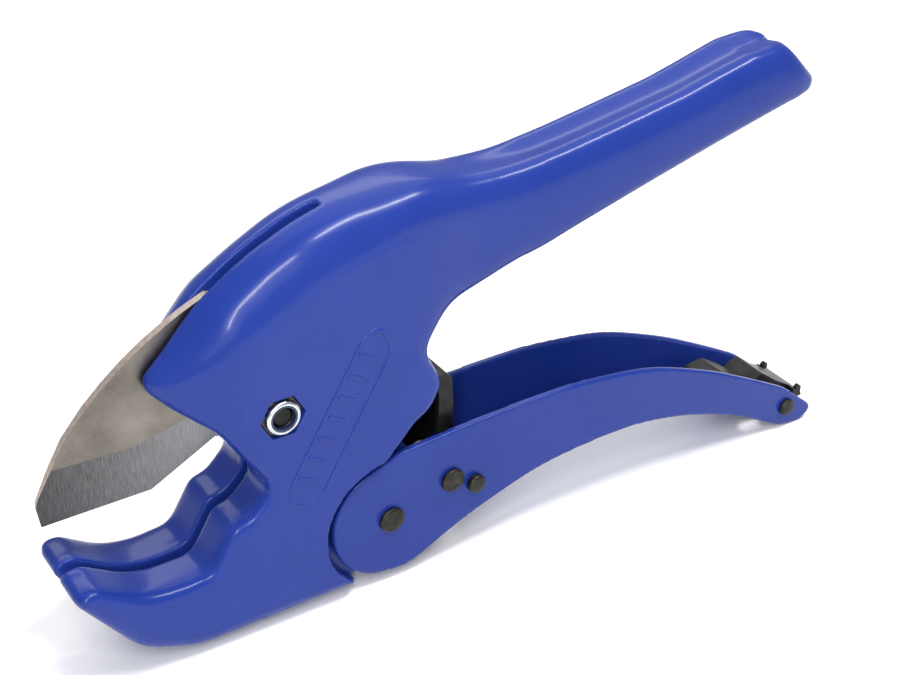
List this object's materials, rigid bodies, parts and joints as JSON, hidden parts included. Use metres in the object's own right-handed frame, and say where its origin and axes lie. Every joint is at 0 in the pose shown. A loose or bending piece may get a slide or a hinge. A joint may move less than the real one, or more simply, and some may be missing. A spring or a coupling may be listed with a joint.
{
  "type": "pvc pipe cutter",
  "caption": "Ratcheting hand cutter for plastic pipe: coated die-cast body with hooked jaw and fixed handle, pivoting steel blade, folded sheet lever with pawl, and a storage latch.",
  "frame": {"origin": "middle of the tool's length and thickness, on the level it stands at when held upright with the pipe jaw pointing to -X", "axes": "+X from the blade tip towards the handles' ends, +Z from the lever up to the fixed handle, Y through the tool's thickness, the nut side facing -Y"},
  "size_m": [0.216, 0.0295, 0.1131],
  "materials": {
    "coated_casting": "gloss blue coating over a die casting",
    "blue_coat": "gloss blue coating over steel sheet",
    "blade_steel": "brushed, with brighter ground bevels",
    "zinc_plate": "bright zinc plate",
    "black_oxide": "black oxide, satin",
    "bright_steel": "plain turned steel",
    "spring_steel": "oiled wire",
    "nylon": "translucent-looking dyed nylon, opaque here"
  },
  "bodies": {
    "body": {"body_casting": "coated_casting", "pivot_bolt": "zinc_plate", "bolt_washer": "zinc_plate", "pivot_nut": "zinc_plate", "nut_ring": "nylon", "blade_stop_pin": "bright_steel", "latch_catch_pin": "bright_steel", "return_spring": "spring_steel", "lever_washer_near": "bright_steel", "lever_washer_far": "bright_steel"},
    "blade": {"blade": "blade_steel", "blade_bush": "bright_steel"},
    "lever": {"lever": "blue_coat", "lever_rivet": "black_oxide", "pawl_rivet": "black_oxide", "spring_anchor_rivet": "black_oxide", "latch_rivet": "black_oxide", "pawl_spacer_near": "bright_steel", "pawl_spacer_far": "bright_steel", "latch_spacer_near": "bright_steel", "latch_spacer_far": "bright_steel", "pawl_spring": "spring_steel"},
    "pawl": {"pawl": "black_oxide"},
    "latch": {"latch": "black_oxide"}
  },
  "joints": [
    {"name": "blade_pivot", "type": "hinge", "parent": "body", "child": "blade", "pos_m": [-0.05459, 0, 0.05761], "axis": [0, -1, 0], "range_deg": [-45, 26]},
    {"name": "lever_pivot", "type": "hinge", "parent": "body", "child": "lever", "pos_m": [-0.02729, 0, 0.01831], "axis": [0, -1, 0], "range_deg": [0, 34], "stiffness_Nm_per_rad": 1, "springref_deg": -22.92, "deforming": ["return_spring"]},
    {"name": "pawl_pivot", "type": "hinge", "parent": "lever", "child": "pawl", "pos_m": [-0.01019, 0, 0.02341], "axis": [0, -1, 0], "range_deg": [-50, 0], "deforming": ["pawl_spring"]},
    {"name": "latch_pivot", "type": "hinge", "parent": "lever", "child": "latch", "pos_m": [0.09851, 0, 0.00671], "axis": [0, -1, 0], "range_deg": [-84, 0]}
  ],
  "couplings": [
    {"joint": "pawl_pivot", "follows": "lever_pivot", "ratio": -1.45}
  ]
}
